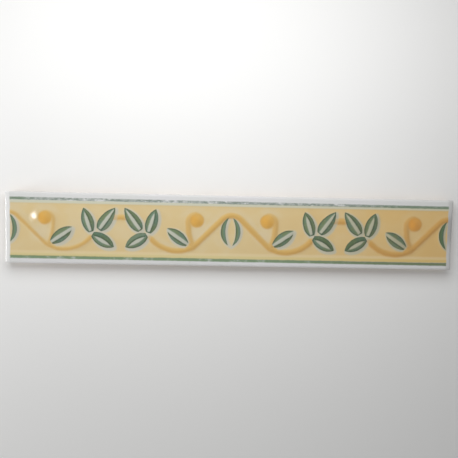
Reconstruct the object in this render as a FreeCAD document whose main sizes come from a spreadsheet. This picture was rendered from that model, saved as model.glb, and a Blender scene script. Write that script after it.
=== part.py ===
"""A glazed relief border tile: one pressed and fired piece with a leaf-scroll vine along its face.

Frame: +X along the tile, +Y across it towards the top of the vine, +Z out of the glazed face.
The origin is the middle of the flat back, so the tile lies on its back on the XY plane.
The vine has two repeats, each a mirror of itself, so a quarter of it is modelled and mirrored.
"""
import FreeCAD, Part
import math
import os
import Sketcher
from FreeCAD import Placement, Rotation, Vector

NODE = "border_tile"
FLAT = 1e-6

SIZES = (
    ("tile_length", 250.0, "slab: along the run of the border"),
    ("tile_width", 39.5, "slab: across the border"),
    ("rail_height", 8.0, "slab: back to the plain rails"),
    ("arris_radius", 1.4, "slab: round of the glazed top edges"),
    ("back_bevel", 0.6, "slab: bevel round the back"),
    ("field_width", 29.4, "field: opening between the rails"),
    ("field_depth", 0.4, "field: drop from rail to field"),
    ("field_slope", 2.2, "field: run of each soft side"),
    ("key_count", 3, "back: number of keying channels"),
    ("key_pitch", 11.0, "back: channel to channel"),
    ("key_width", 5.0, "back: channel width"),
    ("key_depth", 0.8, "back: channel depth"),
    ("key_margin", 9.0, "back: channel end to tile end"),
    ("relief_root", 0.2, "relief: how far each form is rooted below the field"),
    ("crest_inset", 2.2, "vine: last crest to tile end"),
    ("stem_width", 2.5, "vine: stem across its foot"),
    ("stem_height", 0.65, "vine: stem above the field"),
    ("crest_height", 8.6, "vine: crest of the stem above the middle line"),
    ("crest_radius", 7.5, "vine: bend of the stem at its crest"),
    ("trough_reach", 30.0, "vine: crest to trough along the tile"),
    ("trough_drop", 11.75, "vine: trough of the stem below the middle line"),
    ("trough_radius", 16.0, "vine: bend of the stem before its trough"),
    ("node_reach", 16.2, "vine: end of the stem to the middle of the repeat"),
    ("node_drop", 4.6, "vine: end of the stem below the middle line"),
    ("curl_reach", 20.5, "tendril: crest to the centre of the curl"),
    ("curl_height", 4.6, "tendril: centre of the curl above the middle line"),
    ("curl_radius", 3.9, "tendril: bend of the curl"),
    ("tendril_radius", 37.0, "tendril: bend of its rising run"),
    ("tendril_drop", 9.3, "tendril: foot below the middle line"),
    ("tendril_width", 2.3, "tendril: across its foot"),
    ("tendril_height", 0.6, "tendril: above the field"),
    ("berry_reach", 19.9, "berry: crest to its centre"),
    ("berry_height", 5.3, "berry: its centre above the middle line"),
    ("berry_radius", 3.5, "berry: radius at the field"),
    ("berry_crown", 1.0, "berry: top above the field"),
    ("link_height", 6.3, "link: its middle above the middle line"),
    ("link_width", 3.0, "link: across its foot"),
    ("link_crown", 0.6, "link: top above the field"),
    ("link_reach", 5.0, "link: half its length"),
    ("leaf_shoulder", 0.5, "leaf: edge of the lobes above the field"),
    ("leaf_crown", 0.85, "leaf: top of the midrib above the field"),
    ("leaf_bevel", 0.5, "leaf: run of the steep edge"),
    ("midrib_width", 1.2, "leaf: midrib at its widest"),
    ("midrib_inset", 1.2, "leaf: midrib end to leaf end"),
    ("crescent_rise", 7.3, "pod: top above the middle line"),
    ("crescent_fall", 8.7, "pod: foot below the middle line"),
    ("crescent_tip", 1.0, "pod: crest to the ends of each crescent"),
    ("crescent_outer", 5.5, "pod: crest to the outside of the crescent"),
    ("crescent_inner", 2.9, "pod: crest to the inside of the crescent"),
    ("crescent_crown", 0.75, "pod: top above the field"),
    ("crescent_bevel", 0.7, "pod: run of the crescent's slopes"),
    ("crescent_point", 1.8, "pod: run of the slope at the crescent's ends"),
)

LEAVES = {
    "outer_leaf": (
        ("length", 14.2, "base to tip"),
        ("width", 6.2, "at its widest"),
        ("belly", 6.6, "base to its widest"),
        ("reach", 15.8, "base to the middle of the repeat"),
        ("height", -1.9, "base above the middle line"),
        ("angle", 107.7, "turn of its axis from +X"),
    ),
    "inner_leaf": (
        ("length", 15.5, "base to tip"),
        ("width", 6.6, "at its widest"),
        ("belly", 6.2, "base to its widest"),
        ("reach", 12.0, "base to the middle of the repeat"),
        ("height", -1.0, "base above the middle line"),
        ("angle", 54.1, "turn of its axis from +X"),
    ),
    "lower_leaf": (
        ("length", 14.0, "base to tip"),
        ("width", 6.5, "at its widest"),
        ("belly", 7.0, "base to its widest"),
        ("reach", 15.5, "base to the middle of the repeat"),
        ("height", -2.6, "base above the middle line"),
        ("angle", -30.5, "turn of its axis from +X"),
    ),
    "trough_leaf": (
        ("length", 14.6, "base to tip"),
        ("width", 6.6, "at its widest"),
        ("belly", 7.6, "base to its widest"),
        ("reach", 37.9, "base to the middle of the repeat"),
        ("height", -8.3, "base above the middle line"),
        ("angle", 38.0, "turn of its axis from +X"),
    ),
}


class Dim:
    """A size with its number, for a first sketch, and its sheet formula, which drives it."""

    def __init__(self, number, formula):
        self.number = number
        self.formula = formula

    def joined(self, sign, other, number):
        """Joins two formulas, with the number that the joined one gives."""
        return Dim(number, f"({self.formula} {sign} {getattr(other, 'formula', other)})")

    def __add__(self, other):
        return self.joined("+", other, self.number + getattr(other, "number", other))

    def __sub__(self, other):
        return self.joined("-", other, self.number - getattr(other, "number", other))

    def __mul__(self, other):
        return self.joined("*", other, self.number * getattr(other, "number", other))

    def __truediv__(self, other):
        return self.joined("/", other, self.number / getattr(other, "number", other))

    def __neg__(self):
        return Dim(-self.number, f"(-{self.formula})")


ZERO = Dim(0.0, "0")


class Sizes:
    """Every size of the sheet by its alias, as a Dim."""

    def __init__(self, doc):
        self.sheet = doc.addObject("Spreadsheet::Sheet", "dims")
        self.row = 0
        for alias, number, note in SIZES:
            self.add(alias, number, note)
        for leaf, rows in LEAVES.items():
            for word, number, note in rows:
                self.add(f"{leaf}_{word}", number, f"{leaf}: {note}")
        doc.recompute()

    def add(self, alias, number, note):
        """Writes one size to the sheet, under its alias."""
        self.row += 1
        self.sheet.set(f"A{self.row}", note)
        self.sheet.set(f"B{self.row}", str(number))
        self.sheet.setAlias(f"B{self.row}", alias)
        setattr(self, alias, Dim(float(number), f"dims.{alias}"))


def sketch_on(body, name, role, offset=(ZERO, ZERO, ZERO), turn=ZERO):
    """Starts a sketch on an origin plane, moved in the plane's own axes and turned in the plane."""
    plane = next(item for item in body.Origin.OriginFeatures if item.Role == role)
    sketch = body.newObject("Sketcher::SketchObject", name)
    sketch.AttachmentSupport = [(plane, "")]
    sketch.MapMode = "FlatFace"
    place = Vector(*(step.number for step in offset))
    sketch.AttachmentOffset = Placement(place, Rotation(Vector(0, 0, 1), turn.number))
    for axis, step in zip("xyz", offset):
        sketch.setExpression(f"AttachmentOffset.Base.{axis}", step.formula)
    sketch.setExpression("AttachmentOffset.Rotation.Angle", turn.formula)
    return sketch


def rule(sketch, kind, *where):
    """Adds a constraint that has no size."""
    return sketch.addConstraint(Sketcher.Constraint(kind, *where))


def measure(sketch, kind, *where_and_size):
    """Adds a constraint whose size follows the sheet."""
    *where, size = where_and_size
    index = sketch.addConstraint(Sketcher.Constraint(kind, *where, size.number))
    sketch.setExpression(f"Constraints[{index}]", size.formula)


def line(sketch, start, end):
    """Adds a straight edge."""
    return sketch.addGeometry(Part.LineSegment(Vector(*start), Vector(*end)), False)


def arc(sketch, centre, radius, first, last):
    """Adds an arc that runs anticlockwise between two angles in degrees."""
    circle = Part.Circle(Vector(*centre), Vector(0, 0, 1), radius)
    return sketch.addGeometry(Part.ArcOfCircle(circle, math.radians(first), math.radians(last)), False)


# how a sketch numbers the points of an edge, and its own two axes
START, END, CENTRE = range(1, 4)
ACROSS, UPRIGHT = range(-1, -3, -1)
ORIGIN = (ACROSS, START)


def arc_centre(start, end, axis, place):
    """Finds the centre of an arc from its ends and one coordinate of that centre."""
    middle = ((start[0] + end[0]) / 2, (start[1] + end[1]) / 2)
    across = (start[1] - end[1], end[0] - start[0])
    number = "xy".index(axis)
    share = (place - middle[number]) / across[number]
    return (middle[0] + share * across[0], middle[1] + share * across[1])


def place_point(sketch, geometry, point, x, y):
    """Ties a point of the sketch to its two coordinates."""
    for kind, size, own_axis in (("DistanceX", x, UPRIGHT), ("DistanceY", y, ACROSS)):
        if size is ZERO:
            rule(sketch, "PointOnObject", geometry, point, own_axis)
        else:
            measure(sketch, kind, *ORIGIN, geometry, point, size)


def loop(sketch, corners, centres):
    """Draws a closed loop of lines and arcs through the corners.

    centres gives, by the number of the corner that an arc leaves, one coordinate of the arc's centre.
    """
    points = [(x.number, y.number) for x, y in corners]
    edges = []
    for number, start in enumerate(points):
        end = points[(number + 1) % len(points)]
        if number not in centres:
            edges.append((line(sketch, (*start, 0), (*end, 0)), START, END))
            continue
        axis, place = centres[number]
        centre = arc_centre(start, end, axis, place.number)
        radius = math.dist(centre, start)
        first, last = (math.degrees(math.atan2(y - centre[1], x - centre[0])) for x, y in (start, end))
        anticlockwise = (last - first) % 360 < 180
        ends = (first, last) if anticlockwise else (last, first)
        shape = arc(sketch, (*centre, 0), radius, ends[0], ends[0] + (ends[1] - ends[0]) % 360)
        edges.append((shape, START, END) if anticlockwise else (shape, END, START))
    for (shape, _, last), (next_shape, next_first, _) in zip(edges, edges[1:] + edges[:1]):
        rule(sketch, "Coincident", shape, last, next_shape, next_first)
    for (shape, first, _), (x, y) in zip(edges, corners):
        place_point(sketch, shape, first, x, y)
    for number, (axis, place) in centres.items():
        shape = edges[number][0]
        if place is ZERO:
            rule(sketch, "PointOnObject", shape, CENTRE, UPRIGHT if axis == "x" else ACROSS)
        else:
            measure(sketch, "DistanceX" if axis == "x" else "DistanceY", *ORIGIN, shape, CENTRE, place)


def edges_where(feature, test):
    """Names the edges of a feature whose box passes a test."""
    edges = enumerate(feature.Shape.Edges, start=1)
    return [f"Edge{number}" for number, edge in edges if test(edge.BoundBox)]


class BorderTile:
    """The tile's body, built feature by feature."""

    def __init__(self, doc, sizes):
        self.doc = doc
        self.size = sizes
        self.body = doc.addObject("PartDesign::Body", NODE)
        self.body.Label = NODE
        self.field = sizes.rail_height - sizes.field_depth
        self.repeat_middle = (sizes.tile_length / 2 - sizes.crest_inset) / 2
        self.relief = []

    def feature(self, kind, name, **settings):
        """Adds a feature to the body and recomputes."""
        feature = self.body.newObject(f"PartDesign::{kind}", name)
        for key, setting in settings.items():
            if isinstance(setting, Dim):
                feature.setExpression(key, setting.formula)
            else:
                setattr(feature, key, setting)
        self.body.Tip = feature
        self.doc.recompute()
        return feature

    def slab(self):
        """The plain slab: rails along both sides of a shallow field, all of one section."""
        size = self.size
        side = size.tile_width / 2
        brow = size.field_width / 2
        foot = brow - size.field_slope
        mid_slope = brow - size.field_slope / 2
        mid_depth = size.rail_height - size.field_depth / 2
        corners = [
            (-side, ZERO), (side, ZERO), (side, size.rail_height),
            (brow, size.rail_height), (mid_slope, mid_depth), (foot, self.field),
            (-foot, self.field), (-mid_slope, mid_depth), (-brow, size.rail_height),
            (-side, size.rail_height),
        ]
        centres = {3: ("x", brow), 4: ("x", foot), 6: ("x", -foot), 7: ("x", -brow)}
        section = sketch_on(self.body, "slab_section", "YZ_Plane")
        loop(section, corners, centres)
        slab = self.feature("Pad", "slab", Profile=section, SideType="Symmetric", Length=size.tile_length)
        self.round_edges(slab)

    def round_edges(self, slab):
        """Rounds the glazed edges and bevels the back's."""
        size = self.size
        low = size.rail_height.number / 2
        end = size.tile_length.number / 2
        side = size.tile_width.number / 2

        def glazed(box):
            at_end = box.XLength < FLAT and math.isclose(abs(box.Center.x), end)
            at_side = box.YLength < FLAT and math.isclose(abs(box.Center.y), side)
            return box.ZMin > low and (at_end or at_side)

        top = edges_where(slab, glazed)
        arris = self.feature("Fillet", "glazed_arris", Base=(slab, top), Radius=size.arris_radius)
        back = edges_where(arris, lambda box: box.ZMax < FLAT)
        self.feature("Chamfer", "back_bevel", Base=(arris, back), Size=size.back_bevel)

    def keying(self):
        """The shallow channels along the back that the adhesive keys into."""
        size = self.size
        first = -size.key_pitch * (size.key_count - 1) / 2
        end = size.tile_length / 2 - size.key_margin
        side = size.key_width / 2
        channel = sketch_on(self.body, "key_outline", "XY_Plane", (ZERO, first, ZERO))
        loop(channel, [(-end, -side), (end, -side), (end, side), (-end, side)], {})
        cut = self.feature("Pocket", "key_channel", Profile=channel, Reversed=True, Length=size.key_depth)
        self.feature(
            "LinearPattern", "key_channels", Originals=[cut], Direction=(channel, ["V_Axis"]),
            Mode="Spacing", Offset=size.key_pitch, Occurrences=size.key_count,
        )

    def half_round(self, name, offset, width, crown):
        """A half-round section standing on the field, on a plane across the tile's length."""
        side = width / 2
        root = -self.size.relief_root
        centre = crown - (side * side + crown * crown) / (crown * 2)
        section = sketch_on(self.body, name, "YZ_Plane", offset)
        corners = [(-side, root), (side, root), (side, ZERO), (-side, ZERO)]
        loop(section, corners, {2: ("y", centre)})
        return section

    def stem(self):
        """The main stem: over a crest, straight down, round the trough and up to the leaves."""
        size = self.size
        crest = (0.0, size.crest_height.number - size.crest_radius.number)
        trough = (size.trough_reach.number, size.trough_radius.number - size.trough_drop.number)
        radii = size.crest_radius.number + size.trough_radius.number
        span = math.atan2(trough[1] - crest[1], trough[0] - crest[0])
        heading = span - math.asin(radii / math.dist(crest, trough))
        left = (-math.sin(heading), math.cos(heading))
        crest_radius, trough_radius = size.crest_radius.number, size.trough_radius.number
        leave = (crest[0] + crest_radius * left[0], crest[1] + crest_radius * left[1], 0)
        land = (trough[0] - trough_radius * left[0], trough[1] - trough_radius * left[1], 0)
        node_x = self.repeat_middle - size.node_reach
        run = node_x.number - size.trough_reach.number
        rise = size.trough_drop.number - size.node_drop.number
        rise_radius = (run * run + rise * rise) / (2 * rise)
        rise_turn = math.degrees(math.asin(run / rise_radius))
        turn = math.degrees(heading)

        path = sketch_on(self.body, "stem_path", "XY_Plane", (ZERO, ZERO, self.field))
        over = arc(path, (*crest, 0), crest_radius, 90 + turn, 90)
        down = line(path, leave, land)
        under = arc(path, (*trough, 0), trough_radius, 270 + turn, 270)
        rise_centre = (size.trough_reach.number, rise_radius - size.trough_drop.number, 0)
        up = arc(path, rise_centre, rise_radius, 270, 270 + rise_turn)
        rule(path, "PointOnObject", over, CENTRE, UPRIGHT)
        place_point(path, over, END, ZERO, size.crest_height)
        measure(path, "Radius", over, size.crest_radius)
        rule(path, "Tangent", over, START, down, START)
        rule(path, "Tangent", down, END, under, START)
        place_point(path, under, END, size.trough_reach, -size.trough_drop)
        rule(path, "Vertical", under, CENTRE, under, END)
        measure(path, "Radius", under, size.trough_radius)
        rule(path, "Coincident", under, END, up, START)
        rule(path, "Vertical", up, CENTRE, up, START)
        place_point(path, up, END, node_x, -size.node_drop)
        section = self.half_round(
            "stem_section", (size.crest_height, self.field, ZERO), size.stem_width, size.stem_height
        )
        self.sweep("stem", section, path)

    def tendril(self):
        """The side shoot: it leaves the stem before the trough and curls over into its berry."""
        size = self.size
        centre = (size.curl_reach.number, size.curl_height.number, 0)
        curl_radius, run_radius = size.curl_radius.number, size.tendril_radius.number
        run_centre = (centre[0] + curl_radius - run_radius, centre[1], 0)
        fall = size.curl_height.number + size.tendril_drop.number
        turn = math.degrees(math.asin(fall / run_radius))

        path = sketch_on(self.body, "tendril_path", "XY_Plane", (ZERO, ZERO, self.field))
        curl = arc(path, centre, curl_radius, 0, 90)
        run = arc(path, run_centre, run_radius, -turn, 0)
        place_point(path, curl, CENTRE, size.curl_reach, size.curl_height)
        measure(path, "Radius", curl, size.curl_radius)
        rule(path, "Vertical", curl, CENTRE, curl, END)
        rule(path, "Horizontal", curl, CENTRE, curl, START)
        rule(path, "Coincident", curl, START, run, END)
        rule(path, "Horizontal", run, CENTRE, run, END)
        measure(path, "Radius", run, size.tendril_radius)
        measure(path, "DistanceY", *ORIGIN, run, START, -size.tendril_drop)
        place = (size.curl_height + size.curl_radius, self.field, size.curl_reach)
        section = self.half_round("tendril_section", place, size.tendril_width, size.tendril_height)
        self.sweep("tendril", section, path)

    def sweep(self, name, section, path):
        """Carries a section along a path on the field, upright all the way."""
        self.relief.append(self.feature("AdditivePipe", name, Profile=section, Spine=(path, [])))

    def berry(self):
        """The berry at the tendril's end, a low dome."""
        size = self.size
        root = -size.relief_root
        place = (size.berry_reach, self.field, -size.berry_height)
        profile = sketch_on(self.body, "berry_profile", "XZ_Plane", place)
        side, crown = size.berry_radius, size.berry_crown
        loop(profile, [(ZERO, root), (side, root), (side, ZERO), (ZERO, crown)], {2: ("x", ZERO)})
        self.relief.append(self.feature(
            "Revolution", "berry", Profile=profile, ReferenceAxis=(profile, ["V_Axis"]), Angle=360
        ))

    def link(self):
        """The short stem between the two leaf groups of a repeat, half of it."""
        size = self.size
        place = (size.link_height, self.field, self.repeat_middle)
        section = self.half_round("link_section", place, size.link_width, size.link_crown)
        self.relief.append(self.feature(
            "Pad", "link", Profile=section, Reversed=True, Length=size.link_reach
        ))

    def lens(self, name, place, turn, ends, belly, width):
        """A leaf's outline at one level: pointed at both ends, widest at the belly."""
        start, end = ends
        side = width / 2
        outline = sketch_on(self.body, name, "XY_Plane", place, turn)
        corners = [(start, ZERO), (belly, -side), (end, ZERO), (belly, side)]
        loop(outline, corners, {number: ("x", belly) for number in range(4)})
        return outline

    def leaf(self, name):
        """A leaf: a steep edge, two lobes that rise inwards, and a narrow midrib along the top."""
        size = self.size
        length, width, belly, reach, height, angle = (
            getattr(size, f"{name}_{word}") for word, _, _ in LEAVES[name]
        )
        sections = []
        for part, level, inset, across in (
            ("foot", -size.relief_root, ZERO, width),
            ("shoulder", size.leaf_shoulder, size.leaf_bevel, width - size.leaf_bevel * 2),
            ("midrib", size.leaf_crown, size.midrib_inset, size.midrib_width),
        ):
            place = (self.repeat_middle - reach, height, self.field + level)
            ends = (inset, length - inset)
            sections.append(self.lens(f"{name}_{part}", place, angle, ends, belly, across))
        self.relief.append(self.feature(
            "AdditiveLoft", name, Profile=sections[0], Sections=sections[1:], Ruled=True
        ))

    def crescent(self):
        """One of the two raised crescents of the pod below each crest."""
        size = self.size
        sections = []
        for part, level, bevel, point in (
            ("foot", -size.relief_root, ZERO, ZERO),
            ("ridge", size.crescent_crown, size.crescent_bevel, size.crescent_point),
        ):
            tip = size.crescent_tip + bevel
            top = size.crescent_rise - point
            low = -size.crescent_fall + point
            half = (top - low) / 2
            outer = size.crescent_outer - bevel
            inner = size.crescent_inner + bevel
            place = (ZERO, ZERO, self.field + level)
            outline = sketch_on(self.body, f"crescent_{part}", "XY_Plane", place)
            centres = {}
            for number, edge in enumerate((outer, inner)):
                bow = edge - tip
                centres[number] = ("x", edge - (half * half + bow * bow) / (bow * 2))
            loop(outline, [(tip, low), (tip, top)], centres)
            sections.append(outline)
        self.relief.append(self.feature(
            "AdditiveLoft", "crescent", Profile=sections[0], Sections=sections[1:], Ruled=True
        ))

    def repeats(self):
        """Mirrors the quarter of the vine about the middle of its repeat and about the tile's middle."""
        planes = {item.Role: item for item in self.body.Origin.OriginFeatures if hasattr(item, "Role")}
        middle = self.body.newObject("PartDesign::Plane", "repeat_middle")
        middle.AttachmentSupport = [(planes["YZ_Plane"], "")]
        middle.MapMode = "FlatFace"
        middle.setExpression("AttachmentOffset.Base.z", self.repeat_middle.formula)
        self.doc.recompute()
        vine = self.body.newObject("PartDesign::MultiTransform", "vine")
        vine.Originals = self.relief
        mirrors = []
        for name, plane in (("repeat_mirror", middle), ("tile_mirror", planes["YZ_Plane"])):
            mirror = self.doc.addObject("PartDesign::Mirrored", name)
            mirror.MirrorPlane = (plane, [""])
            mirrors.append(mirror)
        vine.Transformations = mirrors
        self.body.Tip = vine
        self.doc.recompute()

    def build(self):
        """Builds the tile in order."""
        self.slab()
        self.keying()
        self.stem()
        self.tendril()
        self.berry()
        self.link()
        for name in LEAVES:
            self.leaf(name)
        self.crescent()
        self.repeats()
        return self.body


def check(doc, body):
    """Stops if any object failed, or the tile isn't one valid solid."""
    failed = [item.Name for item in doc.Objects if {"Invalid", "Error"} & set(item.State)]
    if failed:
        raise RuntimeError(f"failed: {failed}")
    shape = body.Shape
    if shape.isNull() or not shape.isValid() or len(shape.Solids) != 1:
        raise RuntimeError(f"{body.Label} is not one valid solid")


def main():
    """Builds the tile, checks it and writes its solid."""
    doc = FreeCAD.newDocument("relief_border_tile")
    body = BorderTile(doc, Sizes(doc)).build()
    doc.recompute()
    check(doc, body)
    os.makedirs("parts", exist_ok=True)
    body.Shape.exportStep(f"parts/{body.Label}.step")
    print(body.Label, "volume", round(body.Shape.Volume, 1), "box", body.Shape.BoundBox)


main()
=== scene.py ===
"""Dresses the relief border tile: its glazed and printed face, its bare fired back and a plain studio.

Sizes are millimetres in the tile's own frame: x along the tile, y across it towards the top of the vine,
z out of the glazed face. Meshes are made in metres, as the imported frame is.
"""
import logging
import math
from collections.abc import Callable
from dataclasses import dataclass, field
from enum import Enum

import bmesh
import bpy
import numpy as np
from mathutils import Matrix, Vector


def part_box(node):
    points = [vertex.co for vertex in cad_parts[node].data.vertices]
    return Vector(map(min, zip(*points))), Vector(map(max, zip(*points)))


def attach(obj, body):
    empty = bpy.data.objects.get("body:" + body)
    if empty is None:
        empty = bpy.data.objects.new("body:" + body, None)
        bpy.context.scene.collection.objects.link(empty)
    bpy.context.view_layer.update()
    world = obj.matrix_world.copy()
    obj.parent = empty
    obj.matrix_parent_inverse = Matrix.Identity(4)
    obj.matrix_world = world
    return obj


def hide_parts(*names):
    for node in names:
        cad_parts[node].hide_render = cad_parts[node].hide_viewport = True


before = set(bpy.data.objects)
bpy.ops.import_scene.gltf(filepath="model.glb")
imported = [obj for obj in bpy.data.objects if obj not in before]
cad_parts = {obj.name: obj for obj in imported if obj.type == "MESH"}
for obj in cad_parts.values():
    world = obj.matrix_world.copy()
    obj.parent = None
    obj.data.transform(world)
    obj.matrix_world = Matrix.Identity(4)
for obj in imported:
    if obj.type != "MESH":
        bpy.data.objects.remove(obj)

MM = 0.001
NODE = "border_tile"
OUT_OF_REACH = -20.0
Pair = tuple[float, float]
Triple = tuple[float, float, float]
Colour = Triple
Socket = bpy.types.NodeSocket

log = logging.getLogger(NODE)


@dataclass(frozen=True)
class Bend:
    """A round stretch of a stem's middle line, anticlockwise between two angles in degrees."""

    centre: Pair
    radius: float
    first: float
    last: float

    def nearest(self, points: np.ndarray) -> np.ndarray:
        """Finds the stretch's nearest place to each point.

        Args:
            points: One row of x and y for each point.

        Returns:
            A row of x and y for each point.
        """
        offset = points - np.array(self.centre)
        middle, half = (self.first + self.last) / 2, (self.last - self.first) / 2
        turn = np.degrees(np.arctan2(offset[:, 1], offset[:, 0])) - middle
        held = np.radians(np.clip((turn + 180) % 360 - 180, -half, half) + middle)
        return np.array(self.centre) + self.radius * np.stack([np.cos(held), np.sin(held)], axis=1)


@dataclass(frozen=True)
class Straight:
    """A straight stretch of a stem's middle line."""

    start: Pair
    end: Pair

    def nearest(self, points: np.ndarray) -> np.ndarray:
        """Finds the stretch's nearest place to each point.

        Args:
            points: One row of x and y for each point.

        Returns:
            A row of x and y for each point.
        """
        start, along = np.array(self.start), np.array(self.end) - np.array(self.start)
        share = np.clip((points - start) @ along / (along @ along), 0, 1)
        return start + share[:, None] * along


class RibShade(Enum):
    """The side of a leaf's midrib that carries the dark brush stroke, as a direction on the face."""

    RIGHT = (1.0, 0.0)
    UPPER = (0.0, 1.0)
    LOWER = (0.0, -1.0)


@dataclass(frozen=True)
class Leaf:
    """A leaf of the quarter of the vine that is modelled, pointed at both ends and widest at its belly.

    Its pale midrib is shifted and sloped off the leaf's axis, keeps its insets from the base and the tip,
    and ends a rim's width inside the outline, or past it where the rim is below zero. Its depth darkens the
    shaded side. The white round it starts white_base before the base, or past it where that is below zero.
    """

    length: float
    width: float
    belly: float
    base: Pair
    angle: float
    shade: RibShade
    rib_shift: float
    rib_insets: Pair
    rib_rim: float = 0.75
    rib_slope: float = 0.0
    depth: float = 0.0
    white_base: float = 0.9

    def axes(self, quarter: np.ndarray) -> tuple[np.ndarray, np.ndarray]:
        """Measures points along the leaf from its base, and across it.

        Args:
            quarter: One row of x and y for each point, folded into the quarter.

        Returns:
            The distances along the leaf's axis, and those to its left.
        """
        turn = math.radians(self.angle)
        offset = quarter - np.array(self.base)
        along = offset @ np.array([math.cos(turn), math.sin(turn)])
        across = offset @ np.array([-math.sin(turn), math.cos(turn)])
        return along, across

    def shaded_side(self, flip: np.ndarray) -> np.ndarray:
        """Tells which way across the leaf the dark stroke lies.

        Args:
            flip: 1 where the quarter is as modelled, -1 where it is mirrored.

        Returns:
            1 or -1 for each point, for the leaf's left or right.
        """
        turn = math.radians(self.angle)
        right, up = self.shade.value
        return np.sign(-math.sin(turn) * right * flip + math.cos(turn) * up)

    def outline(self, along: np.ndarray, across: np.ndarray, insets: Pair, width: float) -> np.ndarray:
        """Measures how far points lie inside an outline of the leaf's form.

        Args:
            along: Distances along the leaf.
            across: Distances across the leaf.
            insets: From the leaf's base and tip to the outline's ends, below zero where it runs past.
            width: The outline's width at the belly.

        Returns:
            A distance for each point, below zero outside.
        """
        side = width / 2
        base_reach, tip_reach = self.belly - insets[0], self.length - insets[1] - self.belly
        reach = np.where(along < self.belly, base_reach, tip_reach)
        radius = (reach ** 2 + side ** 2) / (2 * side)
        return radius - np.hypot(along - self.belly, np.abs(across) + radius - side)


@dataclass(frozen=True)
class Pod:
    """The two crescents below each crest, one of them in the quarter that is modelled."""

    top: float = 7.7
    foot: float = -8.3
    tip: float = 1.0
    outer: float = 5.5
    inner: float = 2.9

    def sides(self, quarter: np.ndarray) -> tuple[np.ndarray, np.ndarray]:
        """Measures how far points lie inside the crescent's two sides.

        Args:
            quarter: One row of x and y for each point, folded into the quarter.

        Returns:
            The distances from the inner side and from the outer side.
        """
        half, middle = (self.top - self.foot) / 2, (self.top + self.foot) / 2
        depths = []
        for edge in (self.inner, self.outer):
            bow = edge - self.tip
            radius = (half ** 2 + bow ** 2) / (2 * bow)
            depths.append(np.hypot(quarter[:, 0] - edge + radius, quarter[:, 1] - middle) - radius)
        return depths[0], -depths[1]


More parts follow.
